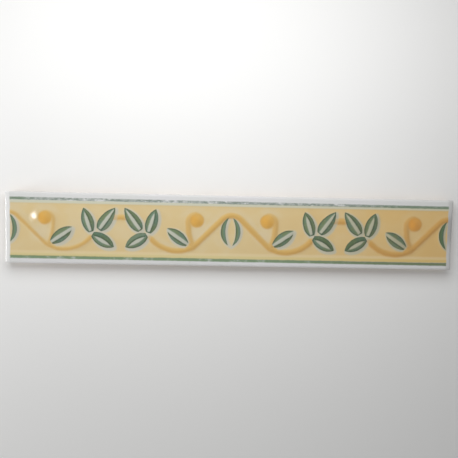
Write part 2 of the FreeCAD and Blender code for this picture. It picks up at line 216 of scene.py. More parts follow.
@dataclass(frozen=True)
class Vine:
    """The vine's stems, leaves and pods, and how far each point of the face lies from them."""

    repeat_middle: float = 61.4
    crest_height: float = 8.35
    crest_radius: float = 7.5
    trough: Pair = (30.0, -11.75)
    trough_radius: float = 16.0
    node: Pair = (45.2, -4.6)
    stem_width: float = 2.5
    curl: Pair = (20.5, 4.6)
    curl_radius: float = 3.9
    tendril_radius: float = 37.0
    tendril_foot: float = -9.3
    tendril_width: float = 2.5
    berry: Pair = (19.65, 5.55)
    berry_radius: float = 3.6
    berry_light: Pair = (0.6, 0.8)
    link_height: float = 6.3
    link_reach: float = 5.0
    link_width: float = 3.0
    nest: Pair = (18.0, -2.0)
    pod: Pod = Pod()
    leaves: tuple[Leaf, ...] = (
        Leaf(
            length=14.2, width=6.2, belly=6.6, base=(45.85, -2.2), angle=107.7,
            shade=RibShade.RIGHT, rib_shift=-0.1, rib_insets=(-3.0, 2.4),
        ),
        Leaf(
            length=15.5, width=6.6, belly=6.2, base=(49.65, -0.9), angle=54.1,
            shade=RibShade.RIGHT, rib_shift=0.05, rib_insets=(-4.0, 0.5),
        ),
        Leaf(
            length=14.0, width=6.5, belly=7.0, base=(46.05, -2.7), angle=-30.5,
            shade=RibShade.UPPER, rib_shift=-0.35, rib_insets=(2.2, 2.2), depth=0.8,
        ),
        Leaf(
            length=14.6, width=6.25, belly=7.6, base=(23.65, -8.2), angle=38.0,
            shade=RibShade.LOWER, rib_shift=0.15, rib_insets=(-5.0, -5.0), rib_rim=-1.0, rib_slope=0.07,
            white_base=-1.2,
        ),
    )
    leaf_spread: float = 0.18
    base_spread: float = 0.4
    base_cut: float = 0.5
    rib_width: float = 1.75
    orange_shift: Pair = (-0.25, 0.3)
    curl_shift: Pair = (0.0, 0.15)
    curl_melt: float = 0.5
    green_shift: Pair = (-0.75, 0.0)
    halo_shift: Pair = (0.0, -0.85)
    halo_width: float = 1.05
    halo_tip: float = 0.9
    pod_halo_shift: Pair = (-0.2, -0.15)
    pod_halo_width: float = 0.8
    halo_melt: float = 0.3
    end_pod_shift: float = 0.65
    copies: int = 4
    tone_seed: int = 11

    def fold(self, points: np.ndarray) -> tuple[np.ndarray, np.ndarray]:
        """Folds the whole face into the quarter that is modelled.

        Args:
            points: One row of x and y for each point.

        Returns:
            The folded points, and 1 or -1 for each where the quarter is as modelled or mirrored.
        """
        along = np.abs(points[:, 0])
        folded = self.repeat_middle - np.abs(along - self.repeat_middle)
        flip = np.where(points[:, 0] < 0, -1.0, 1.0) * np.where(along < self.repeat_middle, 1.0, -1.0)
        return np.stack([folded, points[:, 1]], axis=1), flip

    def pod_sides(self, points: np.ndarray, shift: Pair) -> tuple[np.ndarray, np.ndarray, np.ndarray]:
        """Measures points against the pods as they are printed, the one at the right end further over.

        Args:
            points: One row of x and y for each point.
            shift: How far the colour is printed off its place.

        Returns:
            The distances from the inner side and from the outer side, and 1 or -1 as in fold.
        """
        last = points[:, :1] > self.repeat_middle
        printed = points - np.array(shift) - np.where(last, (self.end_pod_shift, 0.0), 0.0)
        quarter, flip = self.fold(printed)
        return *self.pod.sides(quarter), flip

    @staticmethod
    def melt(edges: list[np.ndarray], reach: float) -> np.ndarray:
        """Joins outlines with soft inner corners, as wet colours run together.

        Args:
            edges: The distances inside each outline.
            reach: How far the corners run together.

        Returns:
            The distances inside the joined outline.
        """
        return reach * np.logaddexp.reduce([np.maximum(edge, OUT_OF_REACH) / reach for edge in edges])

    def stem(self) -> list[Bend | Straight]:
        """Lays out the main stem: over a crest, straight down, round the trough and up to the leaves.

        Returns:
            The stretches of its middle line.
        """
        crest = (0.0, self.crest_height - self.crest_radius)
        turn_centre = (self.trough[0], self.trough[1] + self.trough_radius)
        span = math.atan2(turn_centre[1] - crest[1], turn_centre[0])
        radii = self.crest_radius + self.trough_radius
        heading = span - math.asin(radii / math.dist(crest, turn_centre))
        left = (-math.sin(heading), math.cos(heading))
        leave = tuple(crest[axis] + self.crest_radius * left[axis] for axis in range(2))
        land = tuple(turn_centre[axis] - self.trough_radius * left[axis] for axis in range(2))
        run, rise = self.node[0] - self.trough[0], self.node[1] - self.trough[1]
        rise_radius = (run ** 2 + rise ** 2) / (2 * rise)
        turn = math.degrees(heading)
        rise_turn = math.degrees(math.asin(run / rise_radius))
        return [
            Bend(crest, self.crest_radius, 90 + turn, 90),
            Straight(leave, land),
            Bend(turn_centre, self.trough_radius, 270 + turn, 270),
            Bend((self.trough[0], self.trough[1] + rise_radius), rise_radius, 270, 270 + rise_turn),
        ]

    def tendril(self) -> list[Bend]:
        """Lays out the side shoot, from the stem up and over into its curl.

        Returns:
            The stretches of its middle line.
        """
        turn = math.degrees(math.asin((self.curl[1] - self.tendril_foot) / self.tendril_radius))
        run_centre = (self.curl[0] + self.curl_radius - self.tendril_radius, self.curl[1])
        return [
            Bend(self.curl, self.curl_radius, 0, 90),
            Bend(run_centre, self.tendril_radius, -turn, 0),
        ]

    def link(self) -> list[Straight]:
        """Lays out the short stem between the two leaf groups of a repeat."""
        start = (self.repeat_middle - self.link_reach, self.link_height)
        return [Straight(start, (self.repeat_middle, self.link_height))]

    @staticmethod
    def along_lines(
        quarter: np.ndarray, lines: list[Bend | Straight], width: float
    ) -> tuple[np.ndarray, np.ndarray]:
        """Measures points against a stem.

        Args:
            quarter: One row of x and y for each point, folded into the quarter.
            lines: The stretches of the stem's middle line.
            width: The stem's width.

        Returns:
            The distances inside the stem, and how far points lie above its middle line.
        """
        edge = np.full(len(quarter), -np.inf)
        lean = np.zeros(len(quarter))
        for line in lines:
            step = quarter - line.nearest(quarter)
            inside = width / 2 - np.hypot(step[:, 0], step[:, 1])
            lean = np.where(inside > edge, step[:, 1], lean)
            edge = np.maximum(edge, inside)
        return edge, lean

    def stem_maps(self, points: np.ndarray) -> dict[str, np.ndarray]:
        """Maps the stems, the berries and the pale hollow between each tendril and its stem.

        Args:
            points: One row of x and y for each point.

        Returns:
            For each point, the distance inside a stem and inside a berry, how far it lies above the stems'
            middle lines and towards the light across a berry, which sets the berry's painted highlight and
            shade, how much a tendril is the nearest of them, and its distance from the hollow.
        """
        quarter, flip = self.fold(points - np.array(self.curl_shift))
        off_berry = quarter - np.array(self.berry)
        off_nest = quarter - np.array(self.nest)
        berry = self.berry_radius - np.hypot(off_berry[:, 0], off_berry[:, 1])
        shoot, lean = self.along_lines(quarter, self.tendril(), self.tendril_width)
        edges = [berry, shoot]
        quarter, _ = self.fold(points - np.array(self.orange_shift))
        for lines, width in ((self.stem(), self.stem_width), (self.link(), self.link_width)):
            inside, rise = self.along_lines(quarter, lines, width)
            lean = np.where(inside > np.max(edges, axis=0), rise, lean)
            edges.append(inside)
        others = np.max([berry, *edges[2:]], axis=0)
        # The berry's painted highlight and shade follow how far a point lies towards the light.
        light_across, light_up = self.berry_light
        return {
            "stem_edge": self.melt(edges, self.curl_melt),
            "stem_lean": lean,
            "shoot_share": np.clip(0.5 + (shoot - others) / 2, 0, 1),
            "berry_edge": berry,
            "berry_toward_light": off_berry[:, 1] * light_up + off_berry[:, 0] * flip * light_across,
            "nest_gap": np.hypot(off_nest[:, 0], off_nest[:, 1]),
        }

    def leaf_maps(self, points: np.ndarray) -> dict[str, np.ndarray]:
        """Maps the green of the leaves and pods, which is printed a little to the left of its relief.

        Args:
            points: One row of x and y for each point.

        Returns:
            For each point, the distances inside the nearest leaf, its pale midrib and a pod, the
            distances towards their shaded sides, a tone that differs from leaf to leaf, and how deep the
            green of the shaded side is.
        """
        printed = points - np.array(self.green_shift)
        quarter, flip = self.fold(printed)
        copy = (printed[:, 0] > 0) * 2 + (np.abs(printed[:, 0]) > self.repeat_middle)
        tones = np.random.default_rng(self.tone_seed).random((len(self.leaves), self.copies))
        names = ("leaf_side", "leaf_rib", "leaf_tone", "leaf_depth")
        maps = {name: np.zeros(len(points)) for name in names}
        edge = np.full(len(points), -np.inf)
        for leaf, tone in zip(self.leaves, tones):
            along, across = leaf.axes(quarter)
            slope = leaf.rib_slope * (along - leaf.belly)
            side = across * leaf.shaded_side(flip) - leaf.rib_shift - slope
            blunt = self.base_spread * np.clip(1 - along / leaf.belly, 0, 1)
            inside = leaf.outline(along, across, (0.0, 0.0), leaf.width) + self.leaf_spread + blunt
            inside = np.minimum(inside, along - self.base_cut)
            rib = leaf.outline(along, side, leaf.rib_insets, self.rib_width)
            rib = np.minimum(rib, inside - leaf.rib_rim)
            nearer = inside > edge
            for name, values in zip(names, (side, rib, tone[copy], leaf.depth)):
                maps[name] = np.where(nearer, values, maps[name])
            edge = np.maximum(edge, inside)
        from_inner, from_outer, flip = self.pod_sides(points, self.green_shift)
        return maps | {
            "leaf_edge": edge,
            "pod_edge": np.minimum(from_inner, from_outer),
            "pod_side": (from_inner - from_outer) * flip,
        }

    def halo_maps(self, points: np.ndarray) -> dict[str, np.ndarray]:
        """Maps the white laid round the leaves and pods, over the field and the stems.

        Args:
            points: One row of x and y for each point.

        Returns:
            For each point, the distances inside the white of the leaves and that of the pods.
        """
        quarter, _ = self.fold(points - np.array(self.halo_shift))
        leaves = []
        for leaf in self.leaves:
            along, across = leaf.axes(quarter)
            around = self.halo_width + leaf.outline(along, across, (0.0, 0.0), leaf.width)
            ends = np.minimum(along + leaf.white_base, leaf.length + self.halo_tip - along)
            leaves.append(np.minimum(around, ends))
        from_inner, from_outer, _ = self.pod_sides(points, self.pod_halo_shift)
        return {
            "leaf_halo": self.melt(leaves, self.halo_melt),
            "pod_halo": self.pod_halo_width + np.minimum(from_inner, from_outer),
        }

    def maps(self, points: np.ndarray) -> dict[str, np.ndarray]:
        """Gathers every map of the vine, by the name of its attribute.

        Args:
            points: One row of x and y for each point.

        Returns:
            A value for each point, by name.
        """
        return self.stem_maps(points) | self.leaf_maps(points) | self.halo_maps(points)


class NodeBoard:
    """Lays out the nodes of one tree. Where a value is asked for, a socket or a plain value will do."""

    def __init__(self, tree: bpy.types.NodeTree) -> None:
        """Starts with an empty tree."""
        self.tree = tree
        tree.nodes.clear()

    def add(self, kind: str, **settings: object) -> bpy.types.Node:
        """Adds a node.

        Args:
            kind: The node's type, without its ShaderNode or Node prefix.
            settings: The node's own properties.

        Returns:
            The node.
        """
        prefix = "Node" if kind.startswith("Group") and kind != "Group" else "ShaderNode"
        node = self.tree.nodes.new(prefix + kind)
        for key, setting in settings.items():
            setattr(node, key, setting)
        return node

    def feed(self, socket: Socket, value: Socket | float | tuple[float, ...]) -> None:
        """Links a socket to another, or sets its value.

        Args:
            socket: The input.
            value: What it takes.
        """
        if isinstance(value, Socket):
            self.tree.links.new(value, socket)
        elif socket.type == "RGBA":
            socket.default_value = (*value[:3], 1.0)
        else:
            socket.default_value = value

    def math(self, operation: str, *terms: Socket | float) -> Socket:
        """Adds a Math node.

        Args:
            operation: Blender's name of the operation.
            terms: Its inputs in order.

        Returns:
            The result.
        """
        node = self.add("Math", operation=operation)
        for socket, term in zip(node.inputs, terms):
            self.feed(socket, term)
        return node.outputs[0]

    def plus(self, first: Socket | float, second: Socket | float) -> Socket:
        """Adds two values."""
        return self.math("ADD", first, second)

    def minus(self, first: Socket | float, second: Socket | float) -> Socket:
        """Takes the second value from the first."""
        return self.math("SUBTRACT", first, second)

    def times(self, *terms: Socket | float) -> Socket:
        """Multiplies values together.

        Args:
            terms: Two values or more.

        Returns:
            The product.
        """
        product = terms[0]
        for term in terms[1:]:
            product = self.math("MULTIPLY", product, term)
        return product

    def rise(self, value: Socket, low: float, high: float) -> Socket:
        """Goes smoothly from 0 at the low value to 1 at the high one.

        Args:
            value: What is measured.
            low: Where it starts.
            high: Where it ends.

        Returns:
            The share.
        """
        node = self.add("MapRange", interpolation_type="SMOOTHSTEP")
        for socket, term in zip(node.inputs, (value, low, high, 0.0, 1.0)):
            self.feed(socket, term)
        return node.outputs[0]

    def fall(self, value: Socket, low: float, high: float) -> Socket:
        """Goes smoothly from 1 at the low value to 0 at the high one."""
        return self.minus(1.0, self.rise(value, low, high))

    def lift(self, share: Socket, least: float, most: float = 1.0) -> Socket:
        """Brings a share of 0 to 1 between the least and the most."""
        return self.plus(least, self.times(share, most - least))

    def blend(
        self, share: Socket | float, under: Socket | Colour, over: Socket | Colour, way: str = "MIX"
    ) -> Socket:
        """Lays one colour over another.

        Args:
            share: How much of the upper colour shows.
            under: The lower colour.
            over: The upper colour.
            way: Blender's name of how they mix.

        Returns:
            The blended colour.
        """
        node = self.add("Mix", data_type="RGBA", blend_type=way)
        for number, value in ((0, share), (6, under), (7, over)):
            self.feed(node.inputs[number], value)
        return node.outputs[2]

    def stretch(self, place: Socket, factors: Triple) -> Socket:
        """Scales a place along each axis.

        Args:
            place: The place.
            factors: What multiplies its three coordinates.

        Returns:
            The scaled place.
        """
        node = self.add("VectorMath", operation="MULTIPLY")
        self.feed(node.inputs[0], place)
        self.feed(node.inputs[1], factors)
        return node.outputs[0]

    def noise(self, place: Socket, scale: float, detail: float = 2.0) -> Socket:
        """Adds soft noise.

        Args:
            place: Where it is read.
            scale: Waves for each unit of the place.
            detail: How many finer layers it has.

        Returns:
            Its value, from 0 to 1 about 0.5.
        """
        node = self.add("TexNoise")
        self.feed(node.inputs["Vector"], place)
        self.feed(node.inputs["Scale"], scale)
        self.feed(node.inputs["Detail"], detail)
        return node.outputs[0]

    def waver(self, place: Socket, scale: float, detail: float = 2.0) -> Socket:
        """Adds soft noise that swings about 0."""
        return self.minus(self.noise(place, scale, detail), 0.5)

    def attribute(self, name: str) -> Socket:
        """Reads one of the piece's own attributes."""
        return self.add("Attribute", attribute_name=name).outputs["Fac"]

    def place(self) -> Socket:
        """Gives the place on the piece in millimetres."""
        return self.stretch(self.add("TexCoord").outputs["Object"], (1 / MM, 1 / MM, 1 / MM))

    def split(self, place: Socket) -> tuple[Socket, Socket, Socket]:
        """Splits a place into its three coordinates.

        Args:
            place: The place.

        Returns:
            Its x, y and z.
        """
        node = self.add("SeparateXYZ")
        self.feed(node.inputs[0], place)
        return tuple(node.outputs)

    def group(self, tree: bpy.types.NodeTree, **values: Socket | float) -> bpy.types.Node:
        """Places a node group.

        Args:
            tree: The group.
            values: Its inputs by name.

        Returns:
            The group's node.
        """
        node = self.add("Group", node_tree=tree)
        for name, value in values.items():
            self.feed(node.inputs[name], value)
        return node


class SharedEffects:
    """Node groups that both finishes of the tile use."""

    speck_radius: float = 0.08
    speck_growth: float = 0.14
    speck_soft: float = 0.06
    white: Colour = (0.685, 0.69, 0.675)
    white_cool: Colour = (0.7, 0.695, 0.7)
    cool_waves: float = 0.045
    cool_span: Pair = (0.35, 0.7)
    pinhole: Colour = (0.4, 0.37, 0.33)
    pinhole_density: float = 0.3
    pinhole_share: float = 0.1
    pinhole_stain: float = 0.2
    pinhole_sink: float = 0.5
    ripple_waves: float = 0.55
    gloss_waves: float = 0.2
    least_roughness: float = 0.03
    more_roughness: float = 0.05

    def __init__(self) -> None:
        """Builds each group once."""
        self.specks = self.make_specks()
        self.glaze = self.make_glaze()

    @staticmethod
    def start(
        name: str, inputs: dict[str, str], outputs: dict[str, str]
    ) -> tuple[NodeBoard, bpy.types.NodeOutputs, bpy.types.NodeInputs]:
        """Starts a group with its sockets.

        Args:
            name: The group's name.
            inputs: The inputs' kinds by name.
            outputs: The outputs' kinds by name.

        Returns:
            The group's board, its inputs and its outputs.
        """
        tree = bpy.data.node_groups.new(name, "ShaderNodeTree")
        for way, sockets in (("INPUT", inputs), ("OUTPUT", outputs)):
            for label, kind in sockets.items():
                tree.interface.new_socket(name=label, in_out=way, socket_type=f"NodeSocket{kind}")
        board = NodeBoard(tree)
        return board, board.add("GroupInput").outputs, board.add("GroupOutput").inputs

    def make_specks(self) -> bpy.types.NodeTree:
        """Makes small round specks of uneven size, as pinholes or grains leave in a fired surface.

        Returns:
            The group: from a place, a density of cells and the share that hold a speck, a mask.
        """
        board, given, result = self.start(
            "fired_specks", {"Place": "Vector", "Density": "Float", "Share": "Float"}, {"Mask": "Float"}
        )
        cells = board.add("TexVoronoi", feature="F1")
        board.feed(cells.inputs["Vector"], given["Place"])
        board.feed(cells.inputs["Scale"], given["Density"])
        chosen, size, _ = board.split(cells.outputs["Color"])
        present = board.math("LESS_THAN", chosen, given["Share"])
        radius = board.plus(self.speck_radius, board.times(size, self.speck_growth))
        near = board.rise(board.minus(radius, cells.outputs["Distance"]), 0.0, self.speck_soft)
        board.feed(result["Mask"], board.times(near, present))
        return board.tree

    def make_glaze(self) -> bpy.types.NodeTree:
        """Makes the white glaze, faintly uneven in tone, gloss and level.

        Returns:
            The group: from a place in millimetres, a colour, a roughness and a level from 0 to 1.
        """
        board, given, result = self.start(
            "white_glaze", {"Place": "Vector"},
            {"Color": "Color", "Roughness": "Float", "Level": "Float"},
        )
        place = given["Place"]
        cool = board.rise(board.noise(place, self.cool_waves), *self.cool_span)
        pinholes = board.group(
            self.specks, Place=place, Density=self.pinhole_density, Share=self.pinhole_share
        ).outputs["Mask"]
        colour = board.blend(cool, self.white, self.white_cool)
        colour = board.blend(board.times(pinholes, self.pinhole_stain), colour, self.pinhole)
        uneven = board.times(board.noise(place, self.gloss_waves), self.more_roughness)
        ripple = board.noise(place, self.ripple_waves)
        board.feed(result["Color"], colour)
        board.feed(result["Roughness"], board.plus(self.least_roughness, uneven))
        board.feed(result["Level"], board.minus(ripple, board.times(pinholes, self.pinhole_sink)))
        return board.tree


@dataclass(frozen=True)
class PrintedGlaze:
    """The face's finish: white glaze with the border's yellow, orange and green fired into it.

    A span, or a soft edge about a place, is where a colour starts to change and where it is done. A share
    is how much of it then shows. The warm colours multiply the print at the right end.
    """

    # The gloss, the ends of the print and the white beyond them, with painted shade over that white at the
    # right end and painted light on it at the left end.
    refraction: float = 1.5
    bump_strength: float = 0.12
    bump_depth: float = 0.02
    print_end: float = 122.0
    print_shift: float = 0.05
    print_soft: Pair = (-0.35, 0.35)
    warm_span: Pair = (0.0, 110.0)
    end_shade: Colour = (0.58, 0.57, 0.57)
    end_shade_span: Pair = (120.8, 122.8)
    end_shade_height: float = 3.0
    end_shade_reach: Pair = (3.0, 12.0)
    end_shade_least: float = 0.45
    end_light_white: Colour = (0.8, 0.8, 0.79)
    end_light_span: Pair = (-122.8, -121.8)

    # The wobble of printed edges and the drift of the yellow: waves to the millimetre, and heights.
    loose_waves: float = 0.35
    loose_height: float = 0.5
    fine_waves: float = 2.2
    fine_height: float = 0.35
    drift_waves: float = 0.075

    # The yellow field with painted shade under its top edge, the pale strip along its top, and the band
    # along its foot with a painted highlight along the band's top.
    yellow: Colour = (0.69, 0.54, 0.277)
    yellow_pale: Colour = (0.69, 0.575, 0.36)
    yellow_deep: Colour = (0.68, 0.48, 0.2)
    warm_ground: Colour = (1.0, 0.86, 0.61)
    yellow_top: float = 13.85
    yellow_top_soft: Pair = (-0.5, 0.4)
    yellow_foot: float = -15.7
    yellow_foot_soft: Pair = (-0.3, 0.3)
    field_wobble: float = 0.5
    deep_span: Pair = (0.4, 0.65)
    deep_share: float = 0.25
    pale_span: Pair = (0.3, 0.5)
    pale_share: float = 0.4
    grain_share: float = 0.35
    nest_span: Pair = (1.0, 8.0)
    above_lean: Pair = (0.5, 2.5)
    above_reach: Pair = (-5.0, -0.8)
    above_share: float = 0.6
    hollow_share: float = 0.8
    strip: Colour = (0.59, 0.59, 0.435)
    warm_strip: Colour = (0.97, 0.93, 0.86)
    strip_top: float = 15.2
    strip_top_soft: Pair = (-0.2, 0.3)
    strip_foot_soft: Pair = (-0.4, 0.0)
    strip_share: float = 0.85
    band_yellow: Colour = (0.67, 0.555, 0.265)
    band_top: float = -13.5
    band_soft: Pair = (-0.5, 0.3)
    field_top_shade: Colour = (0.56, 0.47, 0.24)
    top_shade_soft: Pair = (-0.9, -0.4)
    top_shade_share: float = 0.3
    bank: Colour = (0.75, 0.62, 0.37)
    slope_highlight_foot_soft: Pair = (-1.0, -0.1)
    slope_highlight_top_soft: Pair = (0.5, 1.6)
    slope_highlight_share: float = 0.45

    # The white round the leaves and pods.
    halo: Colour = (0.565, 0.548, 0.445)
    warm_halo: Colour = (0.84, 0.85, 0.74)
    halo_soft: Pair = (-0.75, 0.75)
    halo_wobble: float = 0.6
    halo_share: float = 0.94
    through_soft: Pair = (-0.6, 0.4)
    stem_through: float = 0.5

    # The stems, thinner and fainter to the left, and the berries, with a painted highlight on their upper
    # side and painted shade on their lower side.
    orange: Colour = (0.597, 0.352, 0.08)
    orange_highlight: Colour = (0.655, 0.418, 0.113)
    orange_shade: Colour = (0.615, 0.352, 0.079)
    warm_stem: Colour = (0.9, 0.78, 0.62)
    stem_soft: Pair = (-0.9, 0.6)
    stem_wobble: float = 1.0
    stem_share: float = 0.94
    highlight_lean: Pair = (-0.5, 1.0)
    shade_lean: Pair = (-1.1, -0.3)
    shade_share: float = 0.6
    thin_span: Pair = (-110.0, -5.0)
    thin_left: float = 0.62
    spread_right: float = 0.15
    faint_left: float = 0.12
    faint_shoot: float = 0.14
    berry: Colour = (0.69, 0.372, 0.056)
    warm_berry: Colour = (0.98, 0.81, 0.56)
    berry_soft: Pair = (-0.9, 0.7)
    berry_wobble: float = 0.6
    berry_share: float = 0.97
    berry_lit: Pair = (-0.5, 2.5)
    berry_lit_share: float = 0.5
    berry_shade_rim: Pair = (0.2, 1.6)
    berry_shade: Pair = (-2.5, 2.0)
    berry_shade_rim_share: float = 0.5

    # The green of the leaves and pods.
    green: Colour = (0.141, 0.198, 0.09)
    green_teal: Colour = (0.119, 0.2, 0.13)
    green_pale: Colour = (0.3, 0.36, 0.285)
    green_dark: Colour = (0.03, 0.06, 0.022)
    green_soft: Pair = (-0.2, 0.2)
    green_wobble: float = 0.5
    green_rim: Pair = (0.1, 0.5)
    green_rim_share: float = 0.4
    warm_leaf: Colour = (0.83, 0.77, 0.6)
    deepening: Colour = (0.6, 0.74, 0.64)
    shade_soft: Pair = (-0.2, 0.3)
    outer_least: float = 0.4
    outer_span: Pair = (0.0, 1.1)
    stroke_least: float = 0.4
    stroke_most: float = 0.92
    stroke_span: Pair = (0.3, 1.4)
    mottle_waves: float = 0.22
    mottle_span: Pair = (0.4, 0.62)
    worn_tones: Pair = (0.5, 1.0)
    worn_span: Pair = (0.4, 1.2)
    worn_share: float = 0.25
    streak_waves: float = 0.9
    streak_span: Pair = (0.5, 0.75)
    streak_share: float = 0.2
    flank_span: Pair = (-0.1, 0.9)
    flank_share: float = 0.4
    rib: Colour = (0.495, 0.508, 0.42)
    rib_soft: Pair = (-0.35, 0.25)
    rib_wobble: float = 0.6
    warm_pod: Colour = (0.55, 0.7, 0.5)
    pod_least: float = 0.35
    pod_shade: Pair = (-2.4, -0.4)
    pod_teal: Pair = (-1.0, 1.0)
    pod_pale: Pair = (0.0, 2.2)
    pod_pale_share: float = 0.2

    # The green lines along both sides.
    line: Colour = (0.142, 0.239, 0.105)
    line_wet: Colour = (0.105, 0.185, 0.09)
    line_grey: Colour = (0.19, 0.24, 0.195)
    warm_line: Colour = (0.72, 0.66, 0.45)
    upper_line: float = 15.82
    upper_tilt: float = -0.0024
    upper_width: float = 1.6
    lower_line: float = -16.33
    lower_tilt: float = -0.0022
    lower_width: float = 1.75
    line_soft: Pair = (-0.35, 0.25)
    line_wobble: float = 0.7
    line_share: float = 0.92
    wet_left: Pair = (-117.0, -107.0)
    wet_right: Pair = (58.0, 100.0)
    wet_share: float = 0.8
    dry_waves: Triple = (0.42, 1.1, 0.3)
    dry_span: Pair = (0.34, 0.66)
    dry_share: float = 0.92
    run_waves: Triple = (0.2, 0.02, 0.02)
    gap_span: Pair = (0.4, 0.6)
    gap_least: float = 0.4
    faint_span: Pair = (0.5, 0.68)
    faint_share: float = 0.55

    def material(self, effects: SharedEffects) -> bpy.types.Material:
        """Builds the finish, layer by layer as it was printed.

        Args:
            effects: The shared node groups.

        Returns:
            The material.
        """
        material = bpy.data.materials.new("printed_glaze")
        material.use_nodes = True
        painter = FacePainter(NodeBoard(material.node_tree), effects, self)
        painter.field()
        painter.halo("pod_halo")
        painter.stems()
        painter.berries()
        painter.halo("leaf_halo")
        painter.pods()
        painter.leaves()
        painter.lines()
        painter.fire()
        return material


class FacePainter:
    """Paints the face's layers over each other in one node tree."""

    def __init__(self, board: NodeBoard, effects: SharedEffects, finish: PrintedGlaze) -> None:
        """Starts with the white glaze, and the wobble that every printed edge shares.

        Args:
            board: The material's board.
            effects: The shared node groups.
            finish: The colours and places of the print.
        """
        self.board = board
        self.finish = finish
        self.at = board.place()
        self.x, self.y, _ = board.split(self.at)
        self.glaze = board.group(effects.glaze, Place=self.at)
        self.colour = self.glaze.outputs["Color"]
        loose = board.waver(self.at, finish.loose_waves)
        self.grain = board.waver(self.at, finish.fine_waves)
        self.wobble = board.plus(
            board.times(loose, finish.loose_height), board.times(self.grain, finish.fine_height)
        )
        self.drift = board.noise(self.at, finish.drift_waves)
        ends = board.math("ABSOLUTE", board.minus(self.x, finish.print_shift))
        self.within = board.fall(
            board.plus(ends, self.wobble), *self.about(finish.print_end, finish.print_soft)
        )
        self.right = board.rise(self.x, *finish.warm_span)
        self.shade_and_light_ends()

    @staticmethod
    def about(place: float, soft: Pair) -> Pair:
        """Gives where a soft edge about a place starts and ends."""
        return place + soft[0], place + soft[1]

    def edge(self, name: str, wobble: float) -> Socket:
        """Reads one of the vine's maps as an edge that wobbles."""
        return self.board.plus(self.board.attribute(name), self.board.times(self.wobble, wobble))

    def paint(self, share: Socket, colour: Socket | Colour) -> None:
        """Lays a colour over what is painted so far."""
        self.colour = self.board.blend(share, self.colour, colour)

    def warmed(self, colour: Socket | Colour, tint: Colour) -> Socket:
        """Warms a colour towards the right end, where the tint multiplies it in full."""
        return self.board.blend(self.right, colour, tint, "MULTIPLY")

    def shade_and_light_ends(self) -> None:
        """Paints shade over the white at the right end, most at half height, and paints light on the white
        at the left end.
        """
        board, finish = self.board, self.finish
        off_middle = board.math("ABSOLUTE", board.minus(self.y, finish.end_shade_height))
        share = board.lift(board.fall(off_middle, *finish.end_shade_reach), finish.end_shade_least)
        end_shade_mask = board.times(board.rise(self.x, *finish.end_shade_span), share)
        self.colour = board.blend(end_shade_mask, self.colour, finish.end_shade, "MULTIPLY")
        self.paint(board.fall(self.x, *finish.end_light_span), finish.end_light_white)

    def field(self) -> None:
        """Paints the pale strip, the yellow ground over its foot, and a painted highlight along the band's
        top, where the slope up to the rail catches the light.
        """
        board, finish = self.board, self.finish
        y = board.plus(self.y, board.times(self.wobble, finish.field_wobble))
        strip = board.times(
            self.within,
            board.rise(y, *self.about(finish.yellow_top, finish.strip_foot_soft)),
            board.fall(y, *self.about(finish.strip_top, finish.strip_top_soft)),
            finish.strip_share,
        )
        self.paint(strip, self.warmed(finish.strip, finish.warm_strip))
        yellow = board.times(
            self.within,
            board.fall(y, *self.about(finish.yellow_top, finish.yellow_top_soft)),
            board.rise(y, *self.about(finish.yellow_foot, finish.yellow_foot_soft)),
        )
        self.paint(yellow, self.warmed(self.ground(y), finish.warm_ground))
        # Painted highlight along the band's top, where the slope up to the rail faces the light.
        bank = board.times(
            board.rise(y, *self.about(finish.band_top, finish.slope_highlight_foot_soft)),
            board.fall(y, *self.about(finish.band_top, finish.slope_highlight_top_soft)),
            self.within,
            finish.slope_highlight_share,
        )
        self.paint(bank, finish.bank)

    def ground(self, y: Socket) -> Socket:
        """Mixes the yellow ground: cloudy, pale in the vine's hollows, greener in the band at its foot,
        with painted shade under its top edge.

        Args:
            y: The place across the tile, with the print's wobble.

        Returns:
            The ground's colour.
        """
        board, finish = self.board, self.finish
        deep = board.times(board.rise(self.drift, *finish.deep_span), finish.deep_share)
        pale = board.times(board.fall(self.drift, *finish.pale_span), finish.pale_share)
        nest = board.fall(board.attribute("nest_gap"), *finish.nest_span)
        above = board.times(
            board.rise(board.attribute("stem_lean"), *finish.above_lean),
            board.rise(board.attribute("stem_edge"), *finish.above_reach),
            finish.above_share,
        )
        hollow = board.times(board.math("MAXIMUM", nest, above), finish.hollow_share)
        band = board.fall(y, *self.about(finish.band_top, finish.band_soft))
        # Painted shade under the field's top edge, where the step down from the rail faces away from the
        # light.
        rim = board.times(board.rise(y, *self.about(finish.yellow_top, finish.top_shade_soft)), finish.top_shade_share)
        grain = board.times(board.math("ABSOLUTE", self.grain), finish.grain_share)
        colour = finish.yellow
        for share, over in (
            (deep, finish.yellow_deep), (pale, finish.yellow_pale), (hollow, finish.yellow_pale),
            (band, finish.band_yellow), (rim, finish.field_top_shade), (grain, finish.yellow_deep),
        ):
            colour = board.blend(share, colour, over)
        return colour

    def halo(self, name: str) -> None:
        """Lays the white round the leaves or the pods, with the stems showing a little through it.

        Args:
            name: The map of the white.
        """
        board, finish = self.board, self.finish
        through = board.rise(board.attribute("stem_edge"), *finish.through_soft)
        strength = board.minus(finish.halo_share, board.times(through, finish.stem_through))
        inside = board.rise(self.edge(name, finish.halo_wobble), *finish.halo_soft)
        share = board.times(inside, self.within, strength)
        self.paint(share, self.warmed(finish.halo, finish.warm_halo))

    def stems(self) -> None:
        """Paints the stems, tendrils and links in soft-edged orange, with a painted highlight along their
        upper side and painted shade along their lower side.
        """
        board, finish = self.board, self.finish
        left = board.fall(self.x, *finish.thin_span)
        spread = board.minus(finish.spread_right, board.times(left, finish.thin_left))
        edge = board.plus(self.edge("stem_edge", finish.stem_wobble), spread)
        lean = board.attribute("stem_lean")
